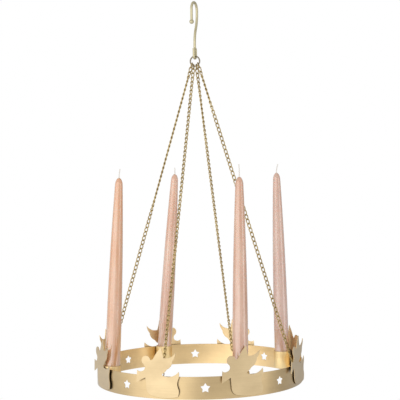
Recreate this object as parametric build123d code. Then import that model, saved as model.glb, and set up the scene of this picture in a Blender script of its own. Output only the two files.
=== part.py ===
from build123d import *
import os
from math import atan2, cos, degrees, hypot, pi, radians, sin, sqrt

# Hanging advent candle holder: a rolled brass band with star cut-outs and angel plates,
# four cups with taper candles, and four curb chains that meet on a ring under a wire hook.
# Millimetres, +Z up. The origin is the point where the hook bears on its nail.
# The hook bends in the YZ plane, the chains end on the X and Y axes, the cups stand between them.

# Band; the stars sit a little to one side of midway between the angels, by a turn in degrees
band_diameter = 318.0
band_height = 33.0
band_thickness = 1.0
star_count = 8
star_points = 5
star_radius = 7.5
star_notch_radius = 4.2
star_shift = 1.2
solder_film = 0.05

# Angel plates, flat sheet tangent to the band; the height is taken from the band's lower edge
angel_count = 8
angel_thickness = 1.0
angel_span = 66.5
angel_height = 75.0

# Candle cups
cup_count = 4
cup_clearance = 1.3
cup_wall = 0.7
cup_floor = 1.0
cup_depth = 26.0
cup_rise = 2.0
cup_edge = 1.2

# Taper candles, and how far each one leans towards +X in its loose cup, in degrees
candle_diameter = 22.4
candle_lengths = (311.0, 311.0, 308.5, 308.5)
candle_neck_diameter = 13.0
candle_belly = 1.6
candle_tip_length = 12.0
candle_tip_diameter = 4.6
candle_leans = (-1.0, 4.7, 3.3, 0.5)
seat_gap = 0.05
wick_diameter = 1.8
wick_stubs = (13.5, 10.0, 13.0, 18.0)
wick_clearance = 0.05

# Curb chains, and the extra turn in degrees that each takes below its first links and again at its foot
chain_count = 4
link_count = 70
link_pitch = 7.02
link_wire = 1.5
link_bow_width = 4.0
link_waist_width = 4.6
link_twist = -45.0
link_gap = 0.1
chain_turns = (90.0, 90.0, 90.0, 0.0)
turn_links = 8
straight_links = 4

# Wire lugs inside the band that hold the chains' lower ends
lug_wire = 1.3
lug_width = 5.0
lug_reach = 4.5
lug_height = 24.0
lug_slack = 0.3

# Ring that gathers the chains: where each chain sits on it, in degrees from its lowest point,
# and the room in that chain's first link for the slant of the ring's wire
ring_diameter = 17.5
ring_wire = 2.2
ring_seats = (45.0, 17.5, -45.0, -17.5)
ring_slacks = (1.4, 0.9, 1.4, 0.9)

# Hook of one bent wire, with a ball on its tip and a long eye at its foot
hook_wire = 4.0
hook_gap = 19.0
hook_tip_leg = 18.0
hook_back_leg = 4.0
hook_crank_drop = 48.0
hook_shank = 4.5
hook_ball_diameter = 7.0
ball_bore_depth = 2.5
eye_gap = 3.5
eye_flare_drop = 6.0
eye_side = 8.25
eye_return = 11.75

# Heights and radii that follow from the sizes above
band_radius = band_diameter / 2
band_inner_radius = band_radius - band_thickness
bend_radius = (hook_gap + hook_wire) / 2
eye_radius = (eye_gap + hook_wire) / 2
eye_arc_z = -hook_gap / 2 - hook_back_leg - hook_crank_drop - hook_shank - eye_flare_drop - eye_side
eye_foot_z = eye_arc_z - eye_radius
ring_radius = (ring_diameter - ring_wire) / 2
ring_z = eye_foot_z + (hook_wire + ring_wire) / 2 + link_gap - ring_radius
link_corner = link_wire * 0.75
link_flat = link_corner / 2
link_reach = (link_pitch + 2 * link_flat + link_gap) / 2
lug_radius = band_inner_radius - lug_reach
cup_outer_radius = candle_diameter / 2 + cup_clearance + cup_wall
cup_ring_radius = band_inner_radius - solder_film - cup_outer_radius


def ring_seat(index):
    """Centre of the ring's wire under one chain's first link."""
    angle = radians(ring_seats[index])
    return Vector(ring_radius * sin(angle), 0, ring_z - ring_radius * cos(angle))


def chain_angle(index):
    """Chains end on the +X, +Y, -X and -Y sides of the band, in that order."""
    return 360 * index / chain_count


def ring_overlap(index):
    """How far the first link's bow stands above the centre of the ring's wire."""
    return ring_wire / 2 + link_flat + ring_slacks[index]


# The second chain sets how low the band hangs
lug_overlap = lug_wire / 2 + link_flat + lug_slack
chain_run = (link_count - 1) * link_pitch + 2 * link_reach - ring_overlap(1) - lug_overlap
plumb_seat = ring_seat(1)
chain_spread = hypot(plumb_seat.X, lug_radius)
lug_z = plumb_seat.Z - sqrt(chain_run**2 - chain_spread**2)
band_bottom = lug_z - lug_height
band_top = band_bottom + band_height
cup_floor_top = band_top + cup_rise - cup_depth


def around(radius, angle, height):
    """Frame on a circle about the Z axis: X points outwards, Z stays up."""
    return Pos(0, 0, height) * Rot(0, 0, angle) * Pos(radius, 0, 0)


def star_face():
    """Star with one point up, drawn in the plane that faces outwards."""
    corners = []
    for step in range(2 * star_points):
        angle = pi / 2 + pi * step / star_points
        radius = star_notch_radius if step % 2 else star_radius
        corners.append((radius * cos(angle), radius * sin(angle)))
    return make_face(Polyline(*corners, close=True))


def make_band():
    """Rolled strip with a row of stars pierced through it, between the angels."""
    strip = Cylinder(band_radius, band_height) - Cylinder(band_inner_radius, band_height)
    strip = Pos(0, 0, band_bottom + band_height / 2) * strip
    punch = extrude(star_face(), 2 * band_thickness + star_radius, both=True)
    for index in range(star_count):
        angle = 360 * (index + 0.5) / star_count + star_shift
        place = around(band_radius, angle, band_bottom + band_height / 2)
        strip -= place * Plane.YZ.location * punch
    return strip


def angel_outline():
    """Angel in profile, head to the left, seen from outside, drawn in hundredths of its span and height."""

    def at(along, up):
        return (angel_span * along / 100, angel_height * up / 100)

    nape = at(-38.3, 65.4)
    wing_root = at(-22.2, 74.3)
    crown = at(-37.2, 81.4)
    wing_rise = at(-15.4, 77.5)
    high_tip = at(3.3, 100.0)
    wing_fork = at(8.6, 79.4)
    low_tip = at(36.5, 90.4)
    upper_feather = at(29.1, 74.0)
    lower_feather = at(15.7, 57.3)
    notch_top = at(5.7, 49.0)
    notch_foot = at(8.2, 44.7)
    robe_tip = at(43.1, 54.1)
    hem_upper = at(41.5, 37.8)
    hem_lower = at(42.2, 21.3)
    hem_foot = at(40.3, 5.9)
    robe_front = at(-15.5, 5.3)
    robe_knee = at(-32.7, 22.1)
    cuff_slit = at(-34.6, 40.2)
    cuff_foot = at(-55.9, 30.5)
    cuff_top = at(-53.9, 54.3)
    throat = at(-41.6, 52.9)
    return make_face(
        [
            ThreePointArc(nape, crown, wing_root),
            ThreePointArc(wing_root, at(-18.7, 75.0), wing_rise),
            ThreePointArc(wing_rise, at(-7.6, 88.8), high_tip),
            ThreePointArc(high_tip, at(5.2, 89.6), wing_fork),
            ThreePointArc(wing_fork, at(23.0, 80.7), low_tip),
            ThreePointArc(low_tip, at(34.7, 82.0), upper_feather),
            ThreePointArc(upper_feather, at(25.0, 63.6), lower_feather),
            ThreePointArc(lower_feather, at(11.3, 52.5), notch_top),
            ThreePointArc(notch_top, at(4.9, 46.1), notch_foot),
            ThreePointArc(notch_foot, at(26.6, 44.5), robe_tip),
            ThreePointArc(robe_tip, at(44.0, 45.5), hem_upper),
            ThreePointArc(hem_upper, at(39.7, 29.6), hem_lower),
            ThreePointArc(hem_lower, at(43.1, 12.5), hem_foot),
            ThreePointArc(hem_foot, at(13.2, 2.7), robe_front),
            ThreePointArc(robe_front, at(-28.5, 10.9), robe_knee),
            Line(robe_knee, cuff_slit),
            Line(cuff_slit, cuff_foot),
            Line(cuff_foot, cuff_top),
            ThreePointArc(cuff_top, at(-47.7, 51.8), throat),
            ThreePointArc(throat, at(-35.6, 58.5), nape),
        ]
    )


def make_angel(plate, index):
    """Flat plate soldered to the outside of the band along its tangent line."""
    place = around(band_radius + solder_film, 360 * index / angel_count, band_bottom)
    return place * Plane.YZ.location * plate


def make_cup(index):
    """Drawn cup soldered to the inside of the band, a little taller than the band's edge."""
    inner = cup_outer_radius - cup_wall
    height = cup_depth + cup_floor
    profile = Polyline(
        (0, 0),
        (cup_outer_radius - cup_edge, 0),
        (cup_outer_radius, cup_edge),
        (cup_outer_radius, height),
        (inner, height),
        (inner, cup_floor),
        (0, cup_floor),
        close=True,
    )
    cup = revolve(Plane.XZ * make_face(profile), Axis.Z)
    return cup_place(index) * Pos(0, 0, -cup_floor) * cup


def cup_place(index):
    """Centre of a cup's floor, in the band's own frame directions."""
    angle = radians(360 * (index + 0.5) / cup_count)
    return Pos(cup_ring_radius * cos(angle), cup_ring_radius * sin(angle), cup_floor_top)


def candle_place(index):
    """The candle leans about the middle of its cup, and its lower rim stands on the floor."""
    lean = candle_leans[index]
    half = cup_depth / 2
    rim_dip = candle_diameter / 2 * sin(radians(abs(lean))) - half * (1 - cos(radians(lean)))
    return cup_place(index) * Pos(0, 0, half + rim_dip + seat_gap) * Rot(0, lean, 0) * Pos(0, 0, -half)


def make_candle(index):
    """Wax taper with a rounded tip and a bore for its wick."""
    bore = wick_diameter / 2 + wick_clearance
    top = candle_lengths[index]
    neck = (candle_neck_diameter / 2, top - candle_tip_length)
    tip = (candle_tip_diameter / 2, top)
    base = (candle_diameter / 2, 0)
    taper = SagittaArc(base, neck, -candle_belly)
    profile = [
        Line((bore, 0), base),
        taper,
        TangentArc(neck, tip, tangent=taper % 1),
        Line(tip, (bore, top)),
        Line((bore, top), (bore, 0)),
    ]
    return revolve(Plane.XZ * make_face(profile), Axis.Z)


def make_wick(index):
    """Cotton cord through the whole candle, standing out of its tip."""
    length = candle_lengths[index] + wick_stubs[index]
    return Pos(0, 0, length / 2) * Cylinder(wick_diameter / 2, length)


def link_stations():
    """Corners of a link's wire line, with the direction and stretch of each mitre and the local twist."""
    bow = link_bow_width / 2
    waist = link_waist_width / 2
    slope = atan2(waist - bow, link_reach)
    bow_turn = (pi / 2 - slope) / 2
    corners = []
    for end, side in ((1, 1), (0, 1), (-1, 1), (-1, -1), (0, -1), (1, -1)):
        if end:
            outward = (end * cos(bow_turn), side * sin(bow_turn))
            corners.append((end * link_reach, side * bow, outward, 1 / cos(bow_turn), end))
        else:
            corners.append((0, side * waist, (0, side), 1 / cos(slope), 0))
    return corners


def make_link(twist):
    """Link of three-sided wire: its two bows are each turned by the twist, one against the other."""
    rings = []
    for x, y, outward, stretch, end in link_stations():
        turn = radians(twist) * end
        ring = []
        for out, up in ((link_corner, 0), (-link_flat, 1), (-link_flat, -1)):
            px = x + outward[0] * out * stretch
            py = y + outward[1] * out * stretch
            pz = up * link_corner * sin(radians(120))
            ring.append(Vector(px, py * cos(turn) - pz * sin(turn), py * sin(turn) + pz * cos(turn)))
        rings.append(ring)
    faces = []
    for index, ring in enumerate(rings):
        following = rings[(index + 1) % len(rings)]
        for side in range(3):
            other = (side + 1) % 3
            faces.append(Face(Wire.make_polygon([ring[side], following[side], following[other]])))
            faces.append(Face(Wire.make_polygon([ring[side], following[other], ring[other]])))
    return Solid(Shell(faces))


def chain_frame(index):
    """First link's centre, the direction down the chain and the spacing of its links."""
    seat = ring_seat(index)
    angle = radians(chain_angle(index))
    lug = Vector(lug_radius * cos(angle), lug_radius * sin(angle), lug_z)
    down = (lug - seat).normalized()
    first = seat + down * (link_reach - ring_overlap(index))
    last = lug + down * (lug_overlap - link_reach)
    return first, down, (last - first).length / (link_count - 1)


def turns_taken(step):
    """Share of a chain's extra turn reached at a link: one turn near the top, a second near the foot."""
    near_top = min(max(step - straight_links, 0) / turn_links, 1)
    near_foot = max(1 - (link_count - 1 - step) / turn_links, 0)
    return near_top + near_foot


def make_chain(flat_link, curb_link, index):
    """Taut chain: a flat link goes round the ring's wire, curb links follow, the last one goes round the lug."""
    first, down, spacing = chain_frame(index)
    angle = radians(chain_angle(index))
    inward = Vector(-cos(angle), -sin(angle), 0)
    across = (inward - down * inward.dot(down)).normalized()
    ring_side = (Vector(0, 1, 0) - down * down.Y).normalized()
    ring_turn = degrees(atan2(across.cross(ring_side).dot(down), across.dot(ring_side)))
    curb_turn = ring_turn + 90 + link_twist
    lug_turn = -link_twist
    spin = (lug_turn - curb_turn + 90) % 180 - 90
    links = []
    for step in range(link_count):
        frame = Plane(first + down * spacing * step, x_dir=down, z_dir=down.cross(across))
        if step == 0:
            links.append(flat_link.moved(frame.location * Rot(ring_turn, 0, 0)))
        else:
            turn = curb_turn + spin * step / (link_count - 1) + chain_turns[index] * turns_taken(step)
            links.append(curb_link.moved(frame.location * Rot(turn, 0, 0)))
    return Compound(links)


def make_lug(index):
    """Staple of wire soldered to the band's inner face, with its bow turned inwards."""
    half = lug_width / 2
    leg = lug_reach - half + band_thickness
    near = Line((leg, half), (0, half))
    bow = JernArc(near @ 1, near % 1, half, 180)
    far = Line(bow @ 1, (leg, -half))
    path = Wire([near, bow, far])
    section = Plane(path @ 0, z_dir=path % 0) * RegularPolygon(lug_wire / 2, 6)
    staple = sweep(section, path)
    place = around(lug_radius + half, chain_angle(index), lug_z)
    bore = Pos(0, 0, lug_z) * Cylinder(band_inner_radius, 4 * lug_wire)
    return (place * staple) & bore


def make_ring():
    """Closed wire ring in the XZ plane, hung in the hook's eye."""
    return Pos(0, 0, ring_z) * Rot(90, 0, 0) * Torus(ring_radius, ring_wire / 2)


def crank(start, shift, drop, heading):
    """Two equal arcs that step a falling wire sideways; heading is 1 to step to the right."""
    turn = 2 * degrees(atan2(shift, drop))
    radius = drop / (2 * sin(radians(turn)))
    first = JernArc(start, (0, -1), radius, turn * heading)
    second = JernArc(first @ 1, first % 1, radius, -turn * heading)
    return [first, second]


def make_hook():
    """Question-mark hook and hairpin eye bent from one wire, drawn with x towards +Y and y up."""
    bend_z = -hook_gap / 2
    tip_leg = Line((-bend_radius, bend_z - hook_tip_leg), (-bend_radius, bend_z))
    bend = JernArc(tip_leg @ 1, (0, 1), bend_radius, -180)
    back_leg = Line(bend @ 1, bend @ 1 - Vector(0, hook_back_leg))
    step_in = crank(back_leg @ 1, bend_radius, hook_crank_drop, -1)
    shank = Line(step_in[1] @ 1, step_in[1] @ 1 - Vector(0, hook_shank))
    flare = crank(shank @ 1, eye_radius, eye_flare_drop, 1)
    eye_near = Line(flare[1] @ 1, flare[1] @ 1 - Vector(0, eye_side))
    eye_foot = JernArc(eye_near @ 1, (0, -1), eye_radius, -180)
    eye_far = Line(eye_foot @ 1, eye_foot @ 1 + Vector(0, eye_return))
    path = Wire([tip_leg, bend, back_leg, *step_in, shank, *flare, eye_near, eye_foot, eye_far])
    section = Plane(path @ 0, z_dir=path % 0) * Circle(hook_wire / 2)
    return Plane.YZ.location * sweep(section, path)


def make_ball():
    """Ball bored to sit on the hook's tip."""
    bore_radius = hook_wire / 2 + solder_film
    ball = Sphere(hook_ball_diameter / 2)
    bore_length = hook_ball_diameter
    ball -= Pos(0, 0, hook_ball_diameter / 2 - ball_bore_depth + bore_length / 2) * Cylinder(bore_radius, bore_length)
    tip_z = -hook_gap / 2 - hook_tip_leg
    return Pos(0, -bend_radius, tip_z - hook_ball_diameter / 2 + ball_bore_depth - solder_film) * ball


os.makedirs("parts", exist_ok=True)
export_step(make_band(), "parts/ring_band.step")
angel_plate = extrude(angel_outline(), angel_thickness)
for number in range(angel_count):
    export_step(make_angel(angel_plate, number), f"parts/angel_{number + 1}.step")
for number in range(cup_count):
    export_step(make_cup(number), f"parts/candle_cup_{number + 1}.step")
    export_step(candle_place(number) * make_candle(number), f"parts/candle_{number + 1}.step")
    export_step(candle_place(number) * make_wick(number), f"parts/wick_{number + 1}.step")
end_link = make_link(0)
chain_link = make_link(link_twist)
for number in range(chain_count):
    export_step(make_chain(end_link, chain_link, number), f"parts/chain_{number + 1}.step")
    export_step(make_lug(number), f"parts/chain_lug_{number + 1}.step")
export_step(make_ring(), "parts/top_ring.step")
export_step(make_hook(), "parts/hook.step")
export_step(make_ball(), "parts/hook_ball.step")
print(f"band bottom {band_bottom:.3f}, cup floor {cup_floor_top:.3f}, ring centre {ring_z:.3f}, lug {lug_z:.3f}")
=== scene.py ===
from math import atan2, cos, inf, pi, radians, sin

import bmesh
import bpy
from mathutils import Euler, Matrix, Vector
from mathutils.geometry import delaunay_2d_cdt


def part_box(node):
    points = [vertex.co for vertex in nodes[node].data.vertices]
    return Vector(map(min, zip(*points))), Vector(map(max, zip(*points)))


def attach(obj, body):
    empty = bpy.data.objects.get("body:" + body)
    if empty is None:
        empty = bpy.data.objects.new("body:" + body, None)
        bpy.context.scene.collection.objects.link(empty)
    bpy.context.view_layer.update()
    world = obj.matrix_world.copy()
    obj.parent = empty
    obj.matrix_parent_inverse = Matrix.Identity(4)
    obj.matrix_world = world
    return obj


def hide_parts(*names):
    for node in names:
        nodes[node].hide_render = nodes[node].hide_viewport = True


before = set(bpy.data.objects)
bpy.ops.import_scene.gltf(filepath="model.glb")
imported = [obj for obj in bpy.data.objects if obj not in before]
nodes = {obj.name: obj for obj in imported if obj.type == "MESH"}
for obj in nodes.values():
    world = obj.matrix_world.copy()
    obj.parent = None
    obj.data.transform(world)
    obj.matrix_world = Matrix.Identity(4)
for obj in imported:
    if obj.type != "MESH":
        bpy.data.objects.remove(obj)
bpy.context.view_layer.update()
MM = 0.001
WELD = 1e-6

# Band and what is soldered to it
BAND_RADIUS = 159.0 * MM
BAND_THICKNESS = 1.0 * MM
BAND_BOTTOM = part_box("ring_band")[0].z
BAND_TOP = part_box("ring_band")[1].z
STAR_COUNT = 8
STAR_POINTS = 5
STAR_RADIUS = 7.5 * MM
STAR_NOTCH_RADIUS = 4.2 * MM
STAR_COLLAR = 1.07
STAR_MARGIN = 1.5 * MM
STAR_SHIFT = radians(1.2)
ANGEL_COUNT = 8
SHEET_EDGE = 0.14 * MM
PLATE_AREA = (8 * MM) ** 2
SOLDER_FILM = 0.05 * MM

# Cups
CUP_COUNT = 4
CUP_OUTER_RADIUS = 13.2 * MM
CUP_WALL = 0.7 * MM
CUP_FLOOR = 1.0 * MM
CUP_DEPTH = 26.0 * MM
CUP_FOOT = 1.2 * MM
CUP_FOOT_BEND = (0.5 * MM, 0.25 * MM)
CUP_CORNER = 0.8 * MM
CUP_RING_RADIUS = BAND_RADIUS - BAND_THICKNESS - SOLDER_FILM - CUP_OUTER_RADIUS

# Candles and wicks
CANDLE_RADIUS = 11.2 * MM
CANDLE_NECK_RADIUS = 5.9 * MM
CANDLE_BELLY = 1.9 * MM
CANDLE_LENGTHS = (311.0 * MM, 311.0 * MM, 308.5 * MM, 308.5 * MM)
CANDLE_TIP_LENGTH = 12.0 * MM
CANDLE_FOOT = 0.5 * MM
CANDLE_FOOT_BEND = (0.1 * MM, 0.3 * MM)
CANDLE_LEANS = (-1.0, 4.7, 3.3, 0.5)
SEAT_GAP = 0.05 * MM
WELL_RADIUS = 1.1 * MM
WELL_RIM = 0.25 * MM
WELL_DEPTH = 0.35 * MM
WICK_RADIUS = 0.9 * MM
WICK_LAY = 0.48 * WICK_RADIUS
WICK_STRANDS = 3
WICK_TWISTS = 4.5
WICK_ROOT = 6 * MM
WICK_STUBS = (13.5 * MM, 10.0 * MM, 13.0 * MM, 18.0 * MM)
WICK_BENDS = (2.6 * MM, -0.9 * MM, 0.8 * MM, -0.6 * MM)

# Chains, with the links' turns as (link, degrees) stations from the ring to the lug
LINK_COUNT = 70
LINK_REACH = 4.1225 * MM
LINK_FLAT = 0.5625 * MM
LINK_TWIST = radians(-45)
CHAIN_TURNS = (
    ((1, 0), (3, -49), (8, -48), (13, 28), (40, 68), (60, 84), (69, 0)),
    ((1, 0), (4, -36), (10, -61), (20, -31), (60, -51), (69, 0)),
    ((1, 0), (4, -61), (30, -27), (38, -97), (60, -78), (69, 0)),
    ((1, 0), (4, -28), (50, -34), (66, -40), (69, 0)),
)
ROUND_REACH = 4.33 * MM
ROUND_WIRE = 0.8 * MM
ROUND_WIDTH = 2.15 * MM
FIRST_REACH = 4.25 * MM
FIRST_WIRE = 0.72 * MM

# Ring, lugs and hook
RING_RADIUS = 7.65 * MM
RING_WIRE = 1.1 * MM
RING_SEATS = (45.0, 17.5, -45.0, -17.5)
RING_SLACKS = (1.4 * MM, 0.9 * MM, 1.4 * MM, 0.9 * MM)
RING_Z = (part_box("top_ring")[0].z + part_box("top_ring")[1].z) / 2
LUG_RADIUS = 153.5 * MM
LUG_WIRE = 0.65 * MM
LUG_SLACK = 0.3 * MM
LUG_Z = BAND_BOTTOM + 24.0 * MM
HOOK_EDGE = 0.25 * MM

# Finishes
WHITE = (1.0, 1.0, 1.0)
NOISE_LOW = 0.3
NOISE_HIGH = 0.7
LACQUER_ROUGHNESS = 0.3
GRAIN_RELIEF = 0.05 * MM
# Colour of the painted shade in gaps and corners between parts
PAINTED_GAP_SHADE = (0.14, 0.10, 0.06)
WAX_TONES = (
    ((0.58, 0.33, 0.23), (0.70, 0.46, 0.35)),
    ((0.65, 0.33, 0.19), (0.74, 0.46, 0.31)),
    ((0.66, 0.30, 0.11), (0.73, 0.43, 0.26)),
    ((0.57, 0.28, 0.15), (0.68, 0.41, 0.27)),
)

# Floor and studio
FLOOR_RADIUS = 1.2
FLOOR_DROP = 0.6
FLOOR_PAINT = 0.9
FLOOR_WHITE = 0.85
LAMP_AIM = Vector((0, 0, -0.45))
WORLD_LEVELS = (
    (0.0, (0.54, 0.54, 0.54)),
    (0.5, (0.74, 0.74, 0.74)),
    (0.8, (0.78, 0.78, 0.78)),
    (1.0, (0.80, 0.80, 0.80)),
)

# Camera
CAMERA_DISTANCE = 1.92
CAMERA_HEIGHT = 0.3438
CAMERA_AZIMUTH = radians(21.0)
CAMERA_PAN = radians(-0.132)
CAMERA_PITCH = radians(1.887)
CAMERA_ROLL = radians(-0.90)
CAMERA_LENS = 111.52
CAMERA_SENSOR = 36.0
CAMERA_CLIP = 100.0


# Meshes

def add_piece(name, mesh, material, slot, body, *replaced):
    """Links a finished mesh as a piece that rides on a body and stands for CAD nodes."""
    piece = bpy.data.objects.new(name, mesh)
    bpy.context.scene.collection.objects.link(piece)
    mesh.materials.clear()
    mesh.materials.append(material)
    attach(piece, body)
    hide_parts(*replaced)


def mesh_from(name, work, smooth_angle, flat_area=inf):
    """Turns a bmesh into a mesh, smooth but for edges over the angle and faces over the area."""
    bmesh.ops.recalc_face_normals(work, faces=work.faces)
    for face in work.faces:
        face.smooth = face.calc_area() < flat_area
    for edge in work.edges:
        edge.smooth = not edge.is_manifold or edge.calc_face_angle(0) < radians(smooth_angle)
    mesh = bpy.data.meshes.new(name)
    work.to_mesh(mesh)
    work.free()
    return mesh


def soften(work, width, sharp_angle=40):
    """Rounds every edge sharper than the angle with a narrow bevel that catches the light."""
    sharp = [e for e in work.edges if e.is_manifold and e.calc_face_angle(0) > radians(sharp_angle)]
    bmesh.ops.bevel(
        work, geom=sharp, offset=width, segments=2, profile=0.6, affect="EDGES", clamp_overlap=True
    )


def dress(node, material, slot, body, edge=0.0, flat=False):
    """Copies a CAD node with welded, softened edges."""
    work = bmesh.new()
    work.from_mesh(nodes[node].data)
    bmesh.ops.remove_doubles(work, verts=work.verts, dist=WELD)
    if flat:
        bmesh.ops.dissolve_limit(work, angle_limit=radians(0.5), verts=work.verts, edges=work.edges)
    if edge:
        soften(work, edge)
    mesh = mesh_from(node + "_look", work, 40, PLATE_AREA if flat else inf)
    add_piece(node + "_look", mesh, material, slot, body, node)


def lathe(profile, segments):
    """Closed profile of (radius, height) pairs turned about the Z axis."""
    work = bmesh.new()
    rings = []
    for radius, height in profile:
        if radius == 0:
            rings.append([work.verts.new((0, 0, height))])
            continue
        ring = []
        for step in range(segments):
            angle = 2 * pi * step / segments
            ring.append(work.verts.new((radius * cos(angle), radius * sin(angle), height)))
        rings.append(ring)
    for lower, upper in zip(rings, rings[1:]):
        for step in range(segments):
            after = (step + 1) % segments
            corners = [lower[step % len(lower)], lower[after % len(lower)]]
            corners += [upper[after % len(upper)], upper[step % len(upper)]]
            work.faces.new(list(dict.fromkeys(corners)))
    return work


def tube(points, radius, sides, outward=None):
    """Round wire along a closed line about its own middle, or an open one with capped ends."""
    work = bmesh.new()
    closed = outward is None
    middle = sum(points, Vector()) / len(points)
    rings = []
    count = len(points)
    for index, point in enumerate(points):
        before = points[index - 1] if closed or index else point
        after = points[(index + 1) % count] if closed or index < count - 1 else point
        along = (after - before).normalized()
        side = (point - middle) if closed else outward
        side = (side - along * side.dot(along)).normalized()
        other = along.cross(side)
        ring = []
        for step in range(sides):
            angle = 2 * pi * step / sides
            ring.append(work.verts.new(point + radius * (side * cos(angle) + other * sin(angle))))
        rings.append(ring)
    pairs = list(zip(rings, rings[1:]))
    if closed:
        pairs.append((rings[-1], rings[0]))
    for near, far in pairs:
        for step in range(sides):
            turn = (step + 1) % sides
            work.faces.new((near[step], near[turn], far[turn], far[step]))
    if not closed:
        work.faces.new(rings[0])
        work.faces.new(rings[-1])
    return work


# Shader nodes

def new_material(name, roughness):
    """Material with its node tree and main shader."""
    material = bpy.data.materials.new(name)
    material.use_nodes = True
    shader = material.node_tree.nodes["Principled BSDF"]
    shader.inputs["Roughness"].default_value = roughness
    return material, material.node_tree, shader


def noise(tree, scales, detail):
    """Noise read in the piece's own coordinates, stretched by one scale for each axis."""
    place = tree.nodes.new("ShaderNodeTexCoord")
    mapping = tree.nodes.new("ShaderNodeMapping")
    mapping.inputs["Scale"].default_value = scales
    texture = tree.nodes.new("ShaderNodeTexNoise")
    texture.inputs["Scale"].default_value = 1.0
    texture.inputs["Detail"].default_value = detail
    tree.links.new(place.outputs["Object"], mapping.inputs["Vector"])
    tree.links.new(mapping.outputs["Vector"], texture.inputs["Vector"])
    return texture.outputs["Fac"]


def height_share(tree, low, high):
    """Height of a point in the piece's own coordinates, as a share of the way from low to high."""
    place = tree.nodes.new("ShaderNodeTexCoord")
    parts = tree.nodes.new("ShaderNodeSeparateXYZ")
    node = tree.nodes.new("ShaderNodeMapRange")
    node.inputs["From Min"].default_value = low
    node.inputs["From Max"].default_value = high
    tree.links.new(place.outputs["Object"], parts.inputs["Vector"])
    tree.links.new(parts.outputs["Z"], node.inputs["Value"])
    return node.outputs["Result"]


def ramp(tree, factor, stops):
    """Colour ramp with (position, colour) stops."""
    node = tree.nodes.new("ShaderNodeValToRGB")
    elements = node.color_ramp.elements
    while len(elements) < len(stops):
        elements.new(0.5)
    for element, (position, colour) in zip(elements, stops):
        element.position = position
        element.color = (*colour, 1)
    tree.links.new(factor, node.inputs["Fac"])
    return node.outputs["Color"]


def spread(tree, factor, low, high):
    """Maps a noise's middle range to low and high."""
    node = tree.nodes.new("ShaderNodeMapRange")
    node.inputs["From Min"].default_value = NOISE_LOW
    node.inputs["From Max"].default_value = NOISE_HIGH
    node.inputs["To Min"].default_value = low
    node.inputs["To Max"].default_value = high
    tree.links.new(factor, node.inputs["Value"])
    return node.outputs["Result"]


def multiply(tree, share, first, second):
    """Multiplies a colour by another one, by a share."""
    node = tree.nodes.new("ShaderNodeMix")
    node.data_type = "RGBA"
    node.blend_type = "MULTIPLY"
    node.inputs["Factor"].default_value = share
    tree.links.new(first, node.inputs["A"])
    tree.links.new(second, node.inputs["B"])
    return node.outputs["Result"]


def combine(tree, kind, first, second):
    """Joins two values by a math operation; the second is a number or a socket."""
    node = tree.nodes.new("ShaderNodeMath")
    node.operation = kind
    tree.links.new(first, node.inputs[0])
    if isinstance(second, float):
        node.inputs[1].default_value = second
    else:
        tree.links.new(second, node.inputs[1])
    return node.outputs["Value"]


def bump(tree, shader, height, strength, distance):
    """Fine relief on the shader's normal."""
    node = tree.nodes.new("ShaderNodeBump")
    node.inputs["Strength"].default_value = strength
    node.inputs["Distance"].default_value = distance
    tree.links.new(height, node.inputs["Height"])
    tree.links.new(node.outputs["Normal"], shader.inputs["Normal"])


# Materials

def brass(name, dark, light, roughness, grain, grain_depth=0.2, speckle=0.6, lacquer=0.0):
    """Brass with fine lines along its grain, tone patches and uneven polish."""
    material, tree, shader = new_material(name, roughness)
    shader.inputs["Metallic"].default_value = 1.0
    shader.inputs["Coat Weight"].default_value = lacquer
    shader.inputs["Coat Roughness"].default_value = LACQUER_ROUGHNESS
    lines = noise(tree, grain, 3.0)
    patches = noise(tree, (22, 22, 30), 4.0)
    specks = noise(tree, (900, 900, 900), 2.0)
    tone = ramp(tree, patches, [(NOISE_LOW, dark), (NOISE_HIGH, light)])
    streak = ramp(tree, lines, [(0.25, (0.82, 0.80, 0.76)), (0.75, WHITE)])
    tone = multiply(tree, 0.8, tone, streak)
    spots = ramp(tree, specks, [(0.62, WHITE), (0.78, (0.84, 0.80, 0.72))])
    tree.links.new(multiply(tree, speckle, tone, spots), shader.inputs["Base Color"])
    polish = spread(tree, lines, roughness - 0.06, roughness + 0.08)
    tree.links.new(polish, shader.inputs["Roughness"])
    bump(tree, shader, lines, grain_depth, GRAIN_RELIEF)
    return material


def tint(material, colours):
    """Multiplies a material's colour by another one."""
    tree = material.node_tree
    colour = tree.nodes["Principled BSDF"].inputs["Base Color"]
    tree.links.new(multiply(tree, 1.0, colour.links[0].from_socket, colours), colour)


def paint_inside_light(material, gain):
    """Paints light into the colour of a sheet's faces that look towards the Z axis, standing for light
    bounced off the far side of the ring.
    """
    tree = material.node_tree
    place = tree.nodes.new("ShaderNodeTexCoord")
    level = tree.nodes.new("ShaderNodeVectorMath")
    level.operation = "MULTIPLY"
    level.inputs[1].default_value = (1, 1, 0)
    facing = tree.nodes.new("ShaderNodeVectorMath")
    facing.operation = "DOT_PRODUCT"
    tree.links.new(place.outputs["Object"], level.inputs[0])
    tree.links.new(level.outputs["Vector"], facing.inputs[0])
    tree.links.new(place.outputs["Normal"], facing.inputs[1])
    inside = combine(tree, "LESS_THAN", facing.outputs["Value"], 0.0)
    tint(material, ramp(tree, inside, [(0.0, WHITE), (1.0, (gain, gain, gain))]))


def paint_gap_shade(material, distance):
    """Paints shade into a metal's colour in gaps and corners narrower than the distance, where little light
    reaches.
    """
    tree = material.node_tree
    gap = tree.nodes.new("ShaderNodeAmbientOcclusion")
    gap.inputs["Distance"].default_value = distance
    tint(material, ramp(tree, gap.outputs["AO"], [(0.4, PAINTED_GAP_SHADE), (0.8, WHITE)]))


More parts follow.
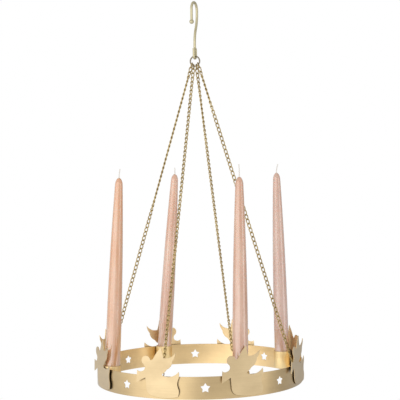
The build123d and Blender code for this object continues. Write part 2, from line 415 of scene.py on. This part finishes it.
def wax(name, deep, pale):
    """Candle wax under a soft shine: cloudy streaks, pale bloom, a few flecks and a pinker foot."""
    material, tree, shader = new_material(name, 0.3)
    shader.inputs["Specular IOR Level"].default_value = 0.9
    shader.inputs["Coat Weight"].default_value = 1.0
    shader.inputs["Coat Roughness"].default_value = 0.12
    shader.inputs["Coat IOR"].default_value = 2.0
    shader.inputs["Subsurface Weight"].default_value = 0.3
    shader.inputs["Subsurface Radius"].default_value = (1.0, 0.5, 0.35)
    shader.inputs["Subsurface Scale"].default_value = 6 * MM
    clouds = noise(tree, (90, 90, 14), 4.0)
    frost = noise(tree, (520, 520, 300), 3.0)
    flecks = noise(tree, (330, 330, 210), 2.0)
    tone = ramp(tree, clouds, [(0.34, deep), (0.66, pale)])
    rise = height_share(tree, BAND_BOTTOM, BAND_BOTTOM + CANDLE_LENGTHS[0])
    blush = ramp(tree, rise, [(0.1, (0.96, 1.0, 1.09)), (0.9, (1.03, 1.0, 0.97))])
    tone = multiply(tree, 1.0, tone, blush)
    bloom = ramp(tree, frost, [(0.45, WHITE), (0.72, (1.14, 1.19, 1.22))])
    tone = multiply(tree, 0.5, tone, bloom)
    spots = ramp(tree, flecks, [(0.64, WHITE), (0.74, (0.86, 0.76, 0.70))])
    tree.links.new(multiply(tree, 0.3, tone, spots), shader.inputs["Base Color"])
    tree.links.new(spread(tree, frost, 0.16, 0.26), shader.inputs["Roughness"])
    bump(tree, shader, clouds, 0.08, 0.4 * MM)
    return material


def cotton(name):
    """Waxed cotton cord with a fibrous surface."""
    material, tree, shader = new_material(name, 0.85)
    shader.inputs["Sheen Weight"].default_value = 0.3
    fibres = noise(tree, (2600, 2600, 700), 3.0)
    stain = noise(tree, (300, 300, 90), 2.0)
    tone = ramp(tree, fibres, [(NOISE_LOW, (0.78, 0.76, 0.71)), (NOISE_HIGH, (0.93, 0.92, 0.89))])
    dip = ramp(tree, stain, [(0.4, (0.93, 0.86, 0.80)), (0.7, WHITE)])
    tree.links.new(multiply(tree, 0.8, tone, dip), shader.inputs["Base Color"])
    bump(tree, shader, fibres, 0.5, 0.2 * MM)
    return material


band_brass = brass(
    "band_brass", (0.55, 0.40, 0.20), (0.69, 0.51, 0.26), roughness=0.36, grain=(9, 9, 2600), lacquer=1.0
)
# Painted bounce light on the band's inner faces
paint_inside_light(band_brass, 1.35)
# Painted shade in the gaps beside the plates and cups
paint_gap_shade(band_brass, 6 * MM)
plate_brass = brass(
    "plate_brass", (0.61, 0.46, 0.25), (0.75, 0.58, 0.33), roughness=0.46, grain=(16, 16, 2200), lacquer=1.0
)
# Painted bounce light on the plates' inner faces
paint_inside_light(plate_brass, 1.3)
# Painted shade where the plates' edges stand off the band
paint_gap_shade(plate_brass, 4 * MM)
cup_brass = brass(
    "cup_brass", (0.88, 0.67, 0.35), (0.95, 0.75, 0.41), roughness=0.40, grain=(12, 12, 3200),
    grain_depth=0.1
)
chain_brass = brass(
    "chain_brass", (0.40, 0.29, 0.12), (0.64, 0.50, 0.23), roughness=0.24, grain=(700, 700, 700)
)
# Painted shade in the gaps between the links
paint_gap_shade(chain_brass, 2 * MM)
wire_brass = brass(
    "wire_brass", (0.57, 0.51, 0.33), (0.67, 0.61, 0.41), roughness=0.36, grain=(3200, 3200, 300),
    grain_depth=0.05, speckle=0.1
)
ring_brass = brass(
    "ring_brass", (0.28, 0.24, 0.18), (0.35, 0.30, 0.23), roughness=0.36, grain=(3200, 3200, 3200),
    grain_depth=0.05, speckle=0.1
)
candle_waxes = [wax(f"candle_wax_{number + 1}", *tones) for number, tones in enumerate(WAX_TONES)]
wick_cotton = cotton("wick_cotton")


# Band: one eighth is drawn flat, wrapped round and repeated

def star_outline():
    """Corners of a star with one point up, about its own centre."""
    corners = []
    for step in range(2 * STAR_POINTS):
        angle = pi / 2 + pi * step / STAR_POINTS
        radius = STAR_NOTCH_RADIUS if step % 2 else STAR_RADIUS
        corners.append(Vector((radius * cos(angle), radius * sin(angle))))
    return corners


def inside_star(point, star):
    """True where the point lies in the star, by the crossings of a ray."""
    crossings = 0
    for start, end in zip(star, star[1:] + star[:1]):
        if (start.y > point.y) != (end.y > point.y):
            cut = start.x + (point.y - start.y) * (end.x - start.x) / (end.y - start.y)
            crossings += cut > point.x
    return crossings % 2 == 1


def band_sector():
    """Points and faces of one flat sector of the strip, with the star in its middle left open."""
    columns = 20
    levels = (0, 0.02, 0.16, 0.33, 0.5, 0.67, 0.84, 0.98, 1)
    width = 2 * pi * BAND_RADIUS / STAR_COUNT
    height = BAND_TOP - BAND_BOTTOM
    star = star_outline()
    points = star + [corner * STAR_COLLAR for corner in star]
    for column in range(columns + 1):
        for level in levels:
            spot = Vector((width * (column / columns - 0.5), height * (level - 0.5)))
            if spot.length > STAR_RADIUS + STAR_MARGIN:
                points.append(spot)
    rim = [(index, (index + 1) % len(star)) for index in range(len(star))]
    flat, _, triangles = delaunay_2d_cdt(points, rim, [], 0, WELD)[:3]
    sheet = []
    for corners in triangles:
        centre = sum((flat[index] for index in corners), Vector((0, 0))) / len(corners)
        if not inside_star(centre, star):
            sheet.append(corners)
    return flat, sheet


def make_band():
    """Rolled strip with pierced stars and softened edges."""
    flat, sheet = band_sector()
    work = bmesh.new()
    for sector in range(STAR_COUNT):
        middle = 2 * pi * (sector + 0.5) / STAR_COUNT + STAR_SHIFT
        placed = []
        for spot in flat:
            angle = middle + spot.x / BAND_RADIUS
            level = (BAND_TOP + BAND_BOTTOM) / 2 + spot.y
            placed.append(work.verts.new((BAND_RADIUS * cos(angle), BAND_RADIUS * sin(angle), level)))
        for corners in sheet:
            work.faces.new([placed[index] for index in corners])
    bmesh.ops.remove_doubles(work, verts=work.verts, dist=WELD)
    loose = [vert for vert in work.verts if not vert.link_faces]
    bmesh.ops.delete(work, geom=loose, context="VERTS")
    outer = list(work.verts)
    outer_faces = list(work.faces)
    outer_rim = [edge for edge in work.edges if edge.is_boundary]
    shrink = (BAND_RADIUS - BAND_THICKNESS) / BAND_RADIUS
    inner = {}
    for vert in outer:
        inner[vert] = work.verts.new((vert.co.x * shrink, vert.co.y * shrink, vert.co.z))
    for face in outer_faces:
        work.faces.new([inner[vert] for vert in reversed(face.verts)])
    for edge in outer_rim:
        first, second = edge.verts
        work.faces.new((first, second, inner[second], inner[first]))
    bmesh.ops.recalc_face_normals(work, faces=work.faces)
    soften(work, SHEET_EDGE)
    mesh = mesh_from("band_look", work, 30)
    add_piece("band_look", mesh, band_brass, "brass_sheet", "wreath", "ring_band")


# Cups, candles and wicks

def cup_centre(index):
    """Middle of a cup's floor."""
    angle = 2 * pi * (index + 0.5) / CUP_COUNT
    floor_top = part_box(f"candle_cup_{index + 1}")[0].z + CUP_FLOOR
    return Vector((CUP_RING_RADIUS * cos(angle), CUP_RING_RADIUS * sin(angle), floor_top))


def candle_matrix(index):
    """A candle leans about the middle of its cup, and its lower rim stands on the floor."""
    lean = radians(CANDLE_LEANS[index])
    half = CUP_DEPTH / 2
    dip = CANDLE_RADIUS * sin(abs(lean)) - half * (1 - cos(lean))
    seat = Matrix.Translation(cup_centre(index) + Vector((0, 0, half + dip + SEAT_GAP)))
    return seat @ Matrix.Rotation(lean, 4, "Y") @ Matrix.Translation((0, 0, -half))


def make_cup(index):
    """Drawn cup with a rounded foot and lip."""
    outer = CUP_OUTER_RADIUS
    inner = outer - CUP_WALL
    lip = CUP_WALL / 2
    lip_steps = 4
    bend_in, bend_up = CUP_FOOT_BEND
    profile = [(0, -CUP_FLOOR), (outer - CUP_FOOT, -CUP_FLOOR)]
    profile += [(outer - bend_in, bend_up - CUP_FLOOR), (outer, CUP_FOOT - CUP_FLOOR)]
    for step in range(lip_steps + 1):
        turn = pi * step / lip_steps
        profile.append((outer - lip + lip * cos(turn), CUP_DEPTH - lip + lip * sin(turn)))
    profile += [(inner, CUP_CORNER), (inner - CUP_CORNER, 0), (0, 0)]
    work = lathe(profile, 72)
    bmesh.ops.translate(work, verts=work.verts, vec=cup_centre(index))
    name = f"candle_cup_{index + 1}"
    mesh = mesh_from(name + "_look", work, 50)
    add_piece(name + "_look", mesh, cup_brass, "brass_cup", "wreath", name)


def make_candle(index):
    """Wax taper, lathed with a soft base edge, a bullet tip and a shallow well at the wick."""
    length = CANDLE_LENGTHS[index]
    neck = length - CANDLE_TIP_LENGTH
    side_steps = 30
    tip_steps = 12
    bend_in, bend_up = CANDLE_FOOT_BEND
    profile = [(0, 0), (CANDLE_RADIUS - CANDLE_FOOT, 0), (CANDLE_RADIUS - bend_in, bend_up)]
    for step in range(1, side_steps + 1):
        share = step / side_steps
        belly = 4 * CANDLE_BELLY * share * (1 - share)
        taper = (CANDLE_RADIUS - CANDLE_NECK_RADIUS) * share
        profile.append((CANDLE_RADIUS - taper + belly, neck * share))
    for step in range(1, tip_steps):
        turn = pi / 2 * step / tip_steps
        profile.append((CANDLE_NECK_RADIUS * cos(turn), neck + CANDLE_TIP_LENGTH * sin(turn)))
    profile += [(WELL_RADIUS, length - WELL_RIM), (0, length - WELL_DEPTH)]
    work = lathe(profile, 64)
    bmesh.ops.transform(work, matrix=candle_matrix(index), verts=work.verts)
    name = f"candle_{index + 1}"
    mesh = mesh_from(name + "_look", work, 60)
    add_piece(name + "_look", mesh, candle_waxes[index], "wax", f"taper_{index + 1}", name)


def make_wick(index):
    """Cotton strands laid up into a cord, standing a little crooked out of the wax."""
    steps = 44
    bend_start = 0.33
    bend_power = 1.6
    start = CANDLE_LENGTHS[index] - WICK_ROOT
    length = WICK_STUBS[index] + WICK_ROOT
    work = bmesh.new()
    for strand in range(WICK_STRANDS):
        points = []
        for step in range(steps + 1):
            share = step / steps
            turn = 2 * pi * (strand / WICK_STRANDS + WICK_TWISTS * share)
            bent = max(0, share - bend_start) / (1 - bend_start)
            x = WICK_LAY * cos(turn) + WICK_BENDS[index] * bent**bend_power
            points.append(Vector((x, WICK_LAY * sin(turn), start + length * share)))
        cord = tube(points, WICK_RADIUS - WICK_LAY, 8, Vector((1, 0, 0)))
        part = bpy.data.meshes.new("strand")
        cord.to_mesh(part)
        cord.free()
        work.from_mesh(part)
        bpy.data.meshes.remove(part)
    bmesh.ops.transform(work, matrix=candle_matrix(index), verts=work.verts)
    name = f"wick_{index + 1}"
    mesh = mesh_from(name + "_look", work, 60)
    add_piece(name + "_look", mesh, wick_cotton, "cotton", f"taper_{index + 1}", name)


# Chains of round wire

def link_mesh(twist, reach, wire):
    """One link along X: an oval of round wire whose two bows are turned against each other."""
    steps = 28
    squareness = 0.8
    points = []
    for step in range(steps):
        angle = 2 * pi * step / steps
        along = cos(angle)
        across = sin(angle)
        x = reach * (abs(along) ** squareness) * (1 if along > 0 else -1)
        y = ROUND_WIDTH * (abs(across) ** squareness) * (1 if across > 0 else -1)
        turn = twist * x / reach
        points.append(Vector((x, y * cos(turn), y * sin(turn))))
    work = tube(points, wire, 9)
    mesh = bpy.data.meshes.new("link")
    work.to_mesh(mesh)
    work.free()
    return mesh


def extra_turn(stations, step):
    """Turn of a link besides the chain's even twist, between two of the chain's stations."""
    for (start, low), (end, high) in zip(stations, stations[1:]):
        if start <= step <= end:
            return radians(low + (high - low) * (step - start) / (end - start))


def make_chain(index, flat_link, curb_link):
    """A flat link on the ring, then curb links down to the lug."""
    seat_angle = radians(RING_SEATS[index])
    seat = Vector((RING_RADIUS * sin(seat_angle), 0, RING_Z - RING_RADIUS * cos(seat_angle)))
    angle = pi / 2 * index
    lug = Vector((LUG_RADIUS * cos(angle), LUG_RADIUS * sin(angle), LUG_Z))
    down = (lug - seat).normalized()
    first = seat + down * (LINK_REACH - RING_WIRE - LINK_FLAT - RING_SLACKS[index])
    last = lug + down * (LUG_WIRE + LINK_FLAT + LUG_SLACK - LINK_REACH)
    inward = Vector((-cos(angle), -sin(angle), 0))
    across = (inward - down * inward.dot(down)).normalized()
    ring_side = (Vector((0, 1, 0)) - down * down.y).normalized()
    ring_turn = atan2(across.cross(ring_side).dot(down), across.dot(ring_side))
    curb_turn = ring_turn + pi / 2 + LINK_TWIST
    spin = (-LINK_TWIST - curb_turn + pi / 2) % pi - pi / 2
    axes = Matrix((down, across, down.cross(across))).transposed().to_4x4()
    work = bmesh.new()
    for step in range(LINK_COUNT):
        share = step / (LINK_COUNT - 1)
        turn = ring_turn
        link = flat_link
        if step:
            turn = curb_turn + spin * share + extra_turn(CHAIN_TURNS[index], step)
            link = curb_link
        before = len(work.verts)
        work.from_mesh(link)
        work.verts.ensure_lookup_table()
        place = Matrix.Translation(first.lerp(last, share)) @ axes @ Matrix.Rotation(turn, 4, "X")
        bmesh.ops.transform(work, matrix=place, verts=work.verts[before:])
    name = f"chain_{index + 1}"
    mesh = mesh_from(name + "_look", work, 80)
    add_piece(name + "_look", mesh, chain_brass, "brass_chain", "wreath", name)


# Pieces

make_band()
for number in range(1, ANGEL_COUNT + 1):
    dress(f"angel_{number}", plate_brass, "brass_plate", "wreath", SHEET_EDGE, flat=True)
end_link = link_mesh(0, FIRST_REACH, FIRST_WIRE)
chain_link = link_mesh(LINK_TWIST, ROUND_REACH, ROUND_WIRE)
for number in range(CUP_COUNT):
    make_cup(number)
    make_candle(number)
    make_wick(number)
    make_chain(number, end_link, chain_link)
    dress(f"chain_lug_{number + 1}", ring_brass, "brass_wire", "wreath")
dress("top_ring", ring_brass, "brass_wire", "ring")
dress("hook", wire_brass, "brass_wire", "hanger", HOOK_EDGE)
dress("hook_ball", wire_brass, "brass_wire", "hanger")


# Floor and studio

def white_rays(tree):
    """Two values: is a ray the camera's or one through glass, and is it one that a surface mirrors."""
    rays = tree.nodes.new("ShaderNodeLightPath")
    seen = combine(tree, "MAXIMUM", rays.outputs["Is Camera Ray"], rays.outputs["Is Transmission Ray"])
    return seen, rays.outputs["Is Glossy Ray"]


def mix_white(tree, share, shade, white, output):
    """Shows the white in place of the shade by a share."""
    mix = tree.nodes.new("ShaderNodeMixShader")
    tree.links.new(share, mix.inputs["Fac"])
    tree.links.new(shade, mix.inputs[1])
    tree.links.new(white, mix.inputs[2])
    tree.links.new(mix.outputs["Shader"], tree.nodes[output].inputs["Surface"])


def make_world(bright_side):
    """White studio, brightest on one side, where metal mirrors its white; elsewhere it mirrors shade."""
    world = bpy.data.worlds.new("studio")
    bpy.context.scene.world = world
    world.use_nodes = True
    tree = world.node_tree
    place = tree.nodes.new("ShaderNodeTexCoord")
    facing = tree.nodes.new("ShaderNodeVectorMath")
    facing.operation = "DOT_PRODUCT"
    facing.inputs[1].default_value = bright_side
    tree.links.new(place.outputs["Generated"], facing.inputs[0])
    share = tree.nodes.new("ShaderNodeMapRange")
    share.inputs["From Min"].default_value = -1.0
    tree.links.new(facing.outputs["Value"], share.inputs["Value"])
    light = tree.nodes["Background"]
    tree.links.new(ramp(tree, share.outputs["Result"], WORLD_LEVELS), light.inputs["Color"])
    white = tree.nodes.new("ShaderNodeBackground")
    white.inputs["Color"].default_value = (*WHITE, 1)
    seen, glossy = white_rays(tree)
    mirrored = combine(tree, "POWER", share.outputs["Result"], 2.0)
    mirrored = combine(tree, "MULTIPLY", mirrored, glossy)
    shown = combine(tree, "MAXIMUM", seen, mirrored)
    mix_white(tree, shown, light.outputs["Background"], white.outputs["Background"], "World Output")


def make_floor():
    """Pale floor far below the holder, close to the studio's white where it is seen or mirrored."""
    work = bmesh.new()
    bmesh.ops.create_circle(work, cap_ends=True, radius=FLOOR_RADIUS, segments=96)
    bmesh.ops.translate(work, verts=work.verts, vec=(0, 0, BAND_BOTTOM - FLOOR_DROP))
    mesh = mesh_from("floor", work, 40)
    material, tree, shader = new_material("floor_paint", 0.9)
    shader.inputs["Base Color"].default_value = (FLOOR_PAINT, FLOOR_PAINT, FLOOR_PAINT, 1)
    glow = tree.nodes.new("ShaderNodeEmission")
    seen, glossy = white_rays(tree)
    shown = combine(tree, "MULTIPLY", combine(tree, "MAXIMUM", seen, glossy), FLOOR_WHITE)
    mix_white(tree, shown, shader.outputs["BSDF"], glow.outputs["Emission"], "Material Output")
    mesh.materials.append(material)
    floor = bpy.data.objects.new("floor", mesh)
    bpy.context.scene.collection.objects.link(floor)


def direction(azimuth, elevation):
    """Direction from the holder, with the azimuth in degrees to the right of the camera's side."""
    level = toward * cos(radians(azimuth)) + right * sin(radians(azimuth))
    return level * cos(radians(elevation)) + Vector((0, 0, sin(radians(elevation))))


def add_lamp(name, azimuth, elevation, distance, width, height, power):
    """Upright soft box that faces the holder's middle."""
    lamp = bpy.data.lights.new(name, "AREA")
    lamp.shape = "RECTANGLE"
    lamp.size = width
    lamp.size_y = height
    lamp.energy = power
    holder = bpy.data.objects.new(name, lamp)
    bpy.context.scene.collection.objects.link(holder)
    ray = direction(azimuth, elevation)
    holder.location = LAMP_AIM + ray * distance
    holder.rotation_euler = (-ray).to_track_quat("-Z", "Y").to_euler()


# Camera and light

toward = Vector((sin(CAMERA_AZIMUTH), -cos(CAMERA_AZIMUTH), 0))
right = Vector((cos(CAMERA_AZIMUTH), sin(CAMERA_AZIMUTH), 0))
view = bpy.data.cameras.new("view")
view.lens = CAMERA_LENS
view.sensor_width = CAMERA_SENSOR
view.clip_end = CAMERA_CLIP
camera = bpy.data.objects.new("view", view)
bpy.context.scene.collection.objects.link(camera)
aim = Euler((pi / 2 - CAMERA_PITCH, 0, CAMERA_AZIMUTH + CAMERA_PAN)).to_matrix().to_4x4()
stand = Matrix.Translation(toward * CAMERA_DISTANCE + Vector((0, 0, BAND_BOTTOM + CAMERA_HEIGHT)))
camera.matrix_world = stand @ aim @ Matrix.Rotation(CAMERA_ROLL, 4, "Z")
bpy.context.scene.camera = camera

make_floor()
make_world(direction(azimuth=-38, elevation=-5))
add_lamp("key", azimuth=-42, elevation=0, distance=2.2, width=3.2, height=2.4, power=18)
add_lamp("fill", azimuth=62, elevation=0, distance=2.6, width=1.2, height=1.8, power=6)
bpy.context.scene.view_settings.view_transform = "Standard"
